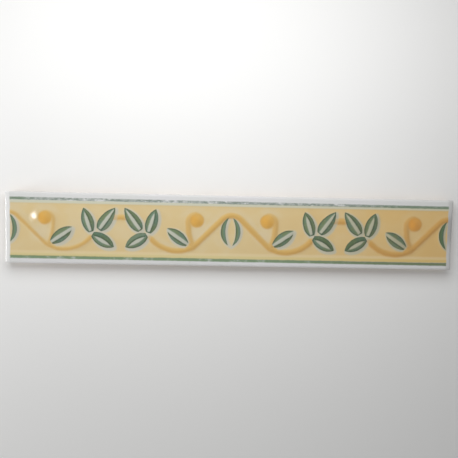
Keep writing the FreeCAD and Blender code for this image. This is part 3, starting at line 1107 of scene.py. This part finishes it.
        # Painted highlight on the upper side and painted shade on the lower side, as the light from above
        # would give.
        colour = board.blend(board.rise(lean, *finish.highlight_lean), finish.orange, finish.orange_highlight)
        dark = board.times(board.fall(lean, *finish.shade_lean), finish.shade_share)
        colour = board.blend(dark, colour, finish.orange_shade)
        shoot = board.times(board.attribute("shoot_share"), finish.faint_shoot)
        strength = board.minus(board.minus(finish.stem_share, board.times(left, finish.faint_left)), shoot)
        share = board.times(board.rise(edge, *finish.stem_soft), self.within, strength)
        self.paint(share, self.warmed(colour, finish.warm_stem))

    def berries(self) -> None:
        """Paints the berries, with a painted highlight on their upper side and painted shade along their
        lower rim.
        """
        board, finish = self.board, self.finish
        edge = self.edge("berry_edge", finish.berry_wobble)
        lean = board.attribute("berry_toward_light")
        # Painted highlight on the upper side and painted shade along the lower rim.
        upper = board.times(board.rise(lean, *finish.berry_lit), finish.berry_lit_share)
        rim = board.times(board.fall(edge, *finish.berry_shade_rim), board.fall(lean, *finish.berry_shade))
        colour = board.blend(upper, finish.berry, finish.orange_highlight)
        colour = board.blend(board.times(rim, finish.berry_shade_rim_share), colour, finish.orange_shade)
        share = board.times(board.rise(edge, *finish.berry_soft), finish.berry_share)
        self.paint(share, self.warmed(colour, finish.warm_berry))

    def rimmed(self, edge: Socket, colour: Socket) -> Socket:
        """Darkens the green of a leaf or a pod along its outline."""
        rim = self.board.times(self.board.fall(edge, *self.finish.green_rim), self.finish.green_rim_share)
        return self.board.blend(rim, colour, self.finish.green_dark)

    def leaves(self) -> None:
        """Paints each leaf: two green lobes, a dark stroke beside its midrib, and the pale midrib."""
        board, finish = self.board, self.finish
        edge = self.edge("leaf_edge", finish.green_wobble)
        rib = self.edge("leaf_rib", finish.rib_wobble)
        off_rib = board.times(rib, -1.0)
        shaded = board.rise(board.attribute("leaf_side"), *finish.shade_soft)
        outer = board.lift(board.rise(edge, *finish.outer_span), finish.outer_least)
        stroke = board.rise(off_rib, *finish.stroke_span)
        stroke = board.lift(stroke, finish.stroke_least, finish.stroke_most)
        mottle = board.rise(board.noise(self.at, finish.mottle_waves), *finish.mottle_span)
        green = board.blend(mottle, finish.green, finish.green_teal)
        lobe = board.blend(board.blend(shaded, outer, stroke), finish.green_dark, green)
        deepened = board.times(shaded, board.attribute("leaf_depth"))
        lobe = board.blend(deepened, lobe, finish.deepening, "MULTIPLY")
        worn = board.times(
            board.rise(board.attribute("leaf_tone"), *finish.worn_tones), shaded,
            board.rise(off_rib, *finish.worn_span), finish.worn_share,
        )
        lobe = board.blend(worn, lobe, finish.green_pale)
        streak = board.rise(board.noise(self.at, finish.streak_waves), *finish.streak_span)
        lobe = board.blend(board.times(streak, finish.streak_share), lobe, finish.green_pale)
        lobe = self.rimmed(edge, lobe)
        flank = board.fall(off_rib, *finish.flank_span)
        flank = board.times(flank, board.minus(1.0, shaded), finish.flank_share)
        lobe = board.blend(flank, lobe, finish.green_pale)
        lobe = board.blend(board.rise(rib, *finish.rib_soft), lobe, finish.rib)
        self.paint(board.rise(edge, *finish.green_soft), self.warmed(lobe, finish.warm_leaf))

    def pods(self) -> None:
        """Paints the crescents: dark along their left, paler towards their right."""
        board, finish = self.board, self.finish
        edge = self.edge("pod_edge", finish.green_wobble)
        side = board.attribute("pod_side")
        depth = board.lift(board.rise(side, *finish.pod_shade), finish.pod_least)
        colour = board.blend(board.rise(side, *finish.pod_teal), finish.green, finish.green_teal)
        colour = board.blend(depth, finish.green_dark, colour)
        pale = board.times(board.rise(side, *finish.pod_pale), finish.pod_pale_share)
        colour = self.rimmed(edge, board.blend(pale, colour, finish.green_pale))
        share = board.times(board.rise(edge, *finish.green_soft), self.within)
        self.paint(share, self.warmed(colour, finish.warm_pod))

    def lines(self) -> None:
        """Draws the green lines along both sides, the upper one dry and broken."""
        board, finish = self.board, self.finish
        dry = board.noise(board.stretch(self.at, finish.dry_waves), 1.0)
        run = board.noise(board.stretch(self.at, finish.run_waves), 1.0)
        ends = board.rise(self.x, *finish.wet_right), board.fall(self.x, *finish.wet_left)
        wet = board.times(board.math("MAXIMUM", *ends), finish.wet_share)
        gaps = board.math("MAXIMUM", board.rise(run, *finish.gap_span), finish.gap_least)
        broken = board.times(gaps, board.minus(1.0, wet))
        upper = board.blend(wet, finish.line_grey, finish.line_wet)
        faint = board.rise(run, *finish.faint_span)
        faint = board.times(faint, board.minus(1.0, self.right), finish.faint_share)
        lower = self.warmed(finish.line, finish.warm_line)
        for level, tilt, width, colour, loss in (
            (finish.upper_line, finish.upper_tilt, finish.upper_width, upper, broken),
            (finish.lower_line, finish.lower_tilt, finish.lower_width, lower, faint),
        ):
            drop = board.minus(self.y, board.plus(level, board.times(self.x, tilt)))
            off = board.plus(board.math("ABSOLUTE", drop), board.times(self.wobble, finish.line_wobble))
            mark = board.fall(off, *self.about(width / 2, finish.line_soft))
            worn = board.times(loss, board.rise(dry, *finish.dry_span), finish.dry_share)
            self.paint(board.times(mark, self.within, board.minus(1.0, worn), finish.line_share), colour)

    def fire(self) -> None:
        """Gives the print its gloss and the glaze's soft level."""
        board, finish = self.board, self.finish
        shader = board.add("BsdfPrincipled")
        bump = board.add("Bump")
        bump.inputs["Strength"].default_value = finish.bump_strength
        bump.inputs["Distance"].default_value = finish.bump_depth * MM
        board.feed(bump.inputs["Height"], self.glaze.outputs["Level"])
        board.feed(shader.inputs["Base Color"], self.colour)
        board.feed(shader.inputs["Roughness"], self.glaze.outputs["Roughness"])
        board.feed(shader.inputs["Normal"], bump.outputs["Normal"])
        shader.inputs["IOR"].default_value = finish.refraction
        board.feed(board.add("OutputMaterial").inputs["Surface"], shader.outputs[0])


@dataclass(frozen=True)
class FiredBody:
    """The finish of the bare sides and back: fired clay, with the face's glaze run a little way down."""

    clay: Colour = (0.56, 0.44, 0.34)
    clay_pale: Colour = (0.66, 0.55, 0.45)
    clay_dark: Colour = (0.34, 0.24, 0.17)
    detail: float = 3.0
    mottle_waves: float = 0.08
    mottle_span: Pair = (0.35, 0.68)
    sand_waves: float = 2.6
    sand_span: Pair = (0.5, 0.75)
    sand_share: float = 0.4
    grit_density: float = 0.5
    grit_share: float = 0.25
    grit_stain: float = 0.6
    run_level: float = 5.4
    run_waves: float = 0.12
    run_height: float = 3.2
    run_soft: Pair = (-0.15, 0.15)
    roughness: float = 0.9
    bump_strength: float = 0.5
    bump_depth: float = 0.12

    def material(self, effects: SharedEffects) -> bpy.types.Material:
        """Builds the finish.

        Args:
            effects: The shared node groups.

        Returns:
            The material.
        """
        material = bpy.data.materials.new("fired_body")
        material.use_nodes = True
        board = NodeBoard(material.node_tree)
        at = board.place()
        _, _, z = board.split(at)
        glaze = board.group(effects.glaze, Place=at)
        mottle = board.rise(board.noise(at, self.mottle_waves, self.detail), *self.mottle_span)
        sand = board.noise(at, self.sand_waves, self.detail)
        clay = board.blend(mottle, self.clay, self.clay_pale)
        dark_sand = board.times(board.rise(sand, *self.sand_span), self.sand_share)
        clay = board.blend(dark_sand, clay, self.clay_dark)
        grit = board.group(
            effects.specks, Place=at, Density=self.grit_density, Share=self.grit_share
        ).outputs["Mask"]
        clay = board.blend(board.times(grit, self.grit_stain), clay, self.clay_dark)
        run = board.waver(at, self.run_waves, self.detail)
        edge = board.plus(self.run_level, board.times(run, self.run_height))
        glazed = board.rise(board.minus(z, edge), *self.run_soft)
        shader = board.add("BsdfPrincipled")
        bump = board.add("Bump")
        bump.inputs["Strength"].default_value = self.bump_strength
        bump.inputs["Distance"].default_value = self.bump_depth * MM
        board.feed(bump.inputs["Height"], board.times(board.minus(sand, grit), board.minus(1.0, glazed)))
        board.feed(shader.inputs["Base Color"], board.blend(glazed, clay, glaze.outputs["Color"]))
        smoother = board.times(glazed, board.minus(self.roughness, glaze.outputs["Roughness"]))
        board.feed(shader.inputs["Roughness"], board.minus(self.roughness, smoother))
        board.feed(shader.inputs["Normal"], bump.outputs["Normal"])
        board.feed(board.add("OutputMaterial").inputs["Surface"], shader.outputs[0])
        return material


@dataclass
class BorderTile:
    """The tile: a glazed face taken from the relief, its round arrises, bare sides and keyed back."""

    name: str = "glazed_border_tile"
    cell: float = 0.37
    clearance: float = 5.0
    melt_factor: float = 0.5
    melt_rounds: int = 42
    arris_radius: float = 1.4
    arris_steps: int = 6
    back_bevel: float = 0.6
    key_count: int = 3
    key_pitch: float = 11.0
    key_width: float = 5.0
    key_depth: float = 0.8
    key_margin: float = 9.0
    smooth_angle: float = 60.0
    level_normal: float = 0.02
    half: Pair = field(init=False)
    piece: bpy.types.Object = field(init=False)

    def build(self) -> bpy.types.Object:
        """Models the tile.

        Returns:
            The piece, with its mesh in place and no finish yet.
        """
        low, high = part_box(NODE)
        self.half = ((high.x - low.x) / 2, (high.y - low.y) / 2)
        self.piece = self.press_face(high.z)
        bpy.ops.object.mode_set(mode="EDIT")
        self.round_arris()
        self.drop_sides()
        self.key_back()
        bpy.ops.mesh.select_all(action="SELECT")
        bpy.ops.mesh.normals_make_consistent(inside=False)
        bpy.ops.object.mode_set(mode="OBJECT")
        bpy.ops.object.shade_smooth_by_angle(angle=math.radians(self.smooth_angle))
        return self.piece

    def press_face(self, top: float) -> bpy.types.Object:
        """Lays a fine sheet over the relief inside the arrises, and melts it as the glaze does.

        Args:
            top: The highest level of the relief, in metres.

        Returns:
            The sheet.
        """
        inset = self.arris_radius * MM
        size = [2 * (half - inset) for half in self.half]
        cells = [round(length / (self.cell * MM)) for length in size]
        bpy.ops.object.select_all(action="DESELECT")
        bpy.ops.mesh.primitive_grid_add(
            x_subdivisions=cells[0], y_subdivisions=cells[1], size=1.0,
            location=(0, 0, top + self.clearance * MM),
        )
        sheet = bpy.context.object
        sheet.name = sheet.data.name = self.name
        sheet.scale = (*size, 1.0)
        bpy.ops.object.transform_apply(location=True, rotation=True, scale=True)
        wrap = sheet.modifiers.new("press", "SHRINKWRAP")
        wrap.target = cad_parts[NODE]
        wrap.wrap_method = "PROJECT"
        wrap.use_project_z = True
        wrap.use_positive_direction = False
        wrap.use_negative_direction = True
        melt = sheet.modifiers.new("melt", "SMOOTH")
        melt.use_x = melt.use_y = False
        melt.factor = self.melt_factor
        melt.iterations = self.melt_rounds
        for modifier in (wrap, melt):
            bpy.ops.object.modifier_apply(modifier=modifier.name)
        return sheet

    def extrude_rim(self, scale: Pair, drop: float = 0.0, level: float | None = None) -> None:
        """Extrudes the open rim by one row.

        Args:
            scale: The new rim's size along x and y as a share of the old one's.
            drop: How far the new rim is lowered, in metres.
            level: The level that the whole new rim comes to, if any, in metres.
        """
        bpy.ops.mesh.extrude_edges_move()
        flat = 1.0 if level is None else 0.0
        bpy.ops.transform.resize(value=(*scale, flat), center_override=(0, 0, level or 0.0))
        if drop:
            bpy.ops.transform.translate(value=(0, 0, -drop))

    def round_arris(self) -> None:
        """Carries the sheet's rim over the quarter rounds of the glazed edges."""
        bpy.ops.mesh.select_mode(type="EDGE")
        bpy.ops.mesh.select_all(action="DESELECT")
        bpy.ops.mesh.select_non_manifold(
            use_wire=False, use_boundary=True, use_multi_face=False,
            use_non_contiguous=False, use_verts=False,
        )
        radius = self.arris_radius * MM
        reach, depth = -radius, 0.0
        for step in range(1, self.arris_steps + 1):
            turn = math.pi / 2 * step / self.arris_steps
            next_reach, next_depth = radius * (math.sin(turn) - 1), radius * (1 - math.cos(turn))
            scale = tuple((half + next_reach) / (half + reach) for half in self.half)
            self.extrude_rim(scale, drop=next_depth - depth)
            reach, depth = next_reach, next_depth

    def drop_sides(self) -> None:
        """Runs the sides down, bevels them and closes the back."""
        bevel = self.back_bevel * MM
        self.extrude_rim((1.0, 1.0), level=bevel)
        self.extrude_rim(tuple((half - bevel) / half for half in self.half), level=0.0)
        bpy.ops.mesh.edge_face_add()

    def select_back(self, test: Callable[[Vector], bool]) -> None:
        """Selects the faces of the back whose middle passes a test.

        Args:
            test: Tells whether a middle is wanted.
        """
        bpy.ops.mesh.select_mode(type="FACE")
        mesh = bmesh.from_edit_mesh(self.piece.data)
        for face in mesh.faces:
            middle = face.calc_center_bounds()
            face.select_set(middle.z < self.back_bevel * MM / 4 and test(middle))
        mesh.select_flush_mode()
        bmesh.update_edit_mesh(self.piece.data)

    def key_back(self) -> None:
        """Cuts the back along the channels' sides and ends, and presses the channels in."""
        end = self.half[0] - self.key_margin * MM
        centre = (self.key_count - 1) / 2
        middles = [(row - centre) * self.key_pitch * MM for row in range(self.key_count)]
        side = self.key_width / 2 * MM
        cuts = [((0, middle + way * side, 0), (0, 1, 0)) for middle in middles for way in (-1, 1)]
        cuts += [((way * end, 0, 0), (1, 0, 0)) for way in (-1, 1)]
        for point, across in cuts:
            self.select_back(lambda middle: True)
            bpy.ops.mesh.bisect(plane_co=point, plane_no=across)
        self.select_back(
            lambda middle: abs(middle.x) < end and any(abs(middle.y - row) < side for row in middles)
        )
        bpy.ops.mesh.extrude_region_move(TRANSFORM_OT_translate={"value": (0, 0, self.key_depth * MM)})

    def map_vine(self, vine: Vine) -> None:
        """Stores the vine's maps on the mesh, for the face's finish to read.

        Args:
            vine: The vine.
        """
        mesh = self.piece.data
        places = np.empty(len(mesh.vertices) * 3, dtype=np.float32)
        mesh.vertices.foreach_get("co", places)
        points = places.reshape(-1, 3)[:, :2].astype(float) / MM
        for name, values in vine.maps(points).items():
            attribute = mesh.attributes.new(name, "FLOAT", "POINT")
            attribute.data.foreach_set("value", values.astype(np.float32))

    def dress(self, face: bpy.types.Material, body: bpy.types.Material) -> None:
        """Gives the glazed face and the bare sides and back their finishes.

        Args:
            face: The face's finish.
            body: The sides' and back's finish.
        """
        mesh = self.piece.data
        mesh.materials.clear()
        for material in (face, body):
            mesh.materials.append(material)
        for polygon in mesh.polygons:
            polygon.material_index = 0 if polygon.normal.z > self.level_normal else 1

    def join_frame(self) -> None:
        """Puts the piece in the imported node's place."""
        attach(self.piece, "root")
        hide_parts(NODE)


@dataclass(frozen=True)
class AreaLamp:
    """A soft rectangular lamp aimed at a point of the tile."""

    name: str
    place: Triple
    aim: Triple
    size: Pair
    watts: float
    spread: float = 180.0
    mirrored: bool = True

    def build(self) -> bpy.types.Object:
        """Hangs the lamp.

        Returns:
            The lamp.
        """
        place = Vector(self.place) * MM
        bpy.ops.object.light_add(type="AREA", location=place)
        lamp = bpy.context.object
        lamp.name = self.name
        lamp.rotation_euler = (Vector(self.aim) * MM - place).to_track_quat("-Z", "Y").to_euler()
        lamp.data.shape = "RECTANGLE"
        lamp.data.size, lamp.data.size_y = (length * MM for length in self.size)
        lamp.data.energy = self.watts
        lamp.data.spread = math.radians(self.spread)
        lamp.visible_glossy = self.mirrored
        return lamp


@dataclass(frozen=True)
class Studio:
    """A plain pale floor, the camera straight above, and soft light.

    The light comes from a window beyond the tile's upper side and a fill in front of its lower one. Two
    more lamps at its left show in the glaze: one along the end, and a small far bulb as a glint by a berry.
    """

    floor_size: float = 6000.0
    floor_colour: Colour = (0.9, 0.9, 0.89)
    floor_roughness: float = 0.85
    floor_fade: Pair = (220.0, 900.0)
    world_light: float = 0.28
    backdrop: float = 1.0
    camera_place: Triple = (-11.2, 19.6, 279.9)
    camera_turn: Triple = (-3.89, -1.92, 1.22)
    camera_lens: float = 38.5
    camera_clip: float = 10.0
    lamps: tuple[AreaLamp, ...] = (
        AreaLamp(
            "window", place=(-34.0, 137.0, 177.0), aim=(-34.0, 0.0, 8.0),
            size=(285.0, 155.0), watts=0.446, mirrored=False,
        ),
        AreaLamp(
            "front_fill", place=(-140.0, -440.0, 60.0), aim=(-50.0, -19.0, 8.0),
            size=(420.0, 80.0), watts=0.58, mirrored=False,
        ),
        AreaLamp(
            "side_lamp", place=(-355.0, -40.0, 66.0), aim=(-122.0, 0.0, 8.0),
            size=(90.0, 60.0), watts=0.28,
        ),
        AreaLamp(
            "far_bulb", place=(-210.8, -7.5, 300.0), aim=(-106.6, 6.7, 7.6),
            size=(3.4, 6.6), watts=5.0e-7, spread=1.0,
        ),
    )

    def build(self) -> None:
        """Sets up the floor, the light and the camera."""
        self.lay_floor()
        self.light_world()
        for lamp in self.lamps:
            lamp.build()
        self.place_camera()

    def lay_floor(self) -> None:
        """Lays the floor that the tile rests on, which fades into the backdrop far from it."""
        bpy.ops.mesh.primitive_plane_add(size=self.floor_size * MM, location=(0, 0, 0))
        floor = bpy.context.object
        floor.name = "floor"
        material = bpy.data.materials.new("pale_floor")
        material.use_nodes = True
        board = NodeBoard(material.node_tree)
        shader = board.add("BsdfPrincipled")
        board.feed(shader.inputs["Base Color"], self.floor_colour)
        shader.inputs["Roughness"].default_value = self.floor_roughness
        distance = board.add("VectorMath", operation="LENGTH")
        board.feed(distance.inputs[0], board.place())
        far = board.rise(distance.outputs["Value"], *self.floor_fade)
        backdrop = board.add("Emission")
        sweep = board.add("MixShader")
        board.feed(sweep.inputs[0], board.times(far, board.add("LightPath").outputs["Is Camera Ray"]))
        board.feed(sweep.inputs[1], shader.outputs[0])
        board.feed(sweep.inputs[2], backdrop.outputs[0])
        board.feed(board.add("OutputMaterial").inputs["Surface"], sweep.outputs[0])
        floor.data.materials.append(material)

    def light_world(self) -> None:
        """Gives the room an even light, and a pale backdrop where the camera or a gloss looks at it."""
        world = bpy.data.worlds.new("room")
        world.use_nodes = True
        bpy.context.scene.world = world
        board = NodeBoard(world.node_tree)
        ray = board.add("LightPath").outputs
        seen = board.math("MAXIMUM", ray["Is Camera Ray"], ray["Is Glossy Ray"])
        seen = board.math("MAXIMUM", seen, ray["Is Transmission Ray"])
        background = board.add("Background")
        strength = board.plus(self.world_light, board.times(seen, self.backdrop - self.world_light))
        board.feed(background.inputs["Color"], (1.0, 1.0, 1.0))
        board.feed(background.inputs["Strength"], strength)
        board.feed(board.add("OutputWorld").inputs["Surface"], background.outputs[0])

    def place_camera(self) -> None:
        """Puts the camera where it looks down on the face from just beside its middle."""
        bpy.ops.object.camera_add(
            location=Vector(self.camera_place) * MM,
            rotation=tuple(math.radians(turn) for turn in self.camera_turn),
        )
        camera = bpy.context.object
        camera.name = "camera"
        camera.data.lens = self.camera_lens
        camera.data.clip_start = self.camera_clip * MM
        bpy.context.scene.camera = camera
        bpy.context.scene.view_settings.view_transform = "Standard"


def main() -> None:
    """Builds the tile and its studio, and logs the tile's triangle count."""
    logging.basicConfig(level=logging.INFO, format="%(name)s: %(message)s")
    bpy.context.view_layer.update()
    effects = SharedEffects()
    tile = BorderTile()
    piece = tile.build()
    tile.map_vine(Vine())
    tile.dress(PrintedGlaze().material(effects), FiredBody().material(effects))
    tile.join_frame()
    triangles = sum(len(polygon.vertices) - 2 for polygon in piece.data.polygons)
    log.info("%s: %d triangles", piece.name, triangles)
    studio = Studio()
    studio.build()
    log.info("studio: floor, %d lamps and camera", len(studio.lamps))


if __name__ == "__main__":
    main()
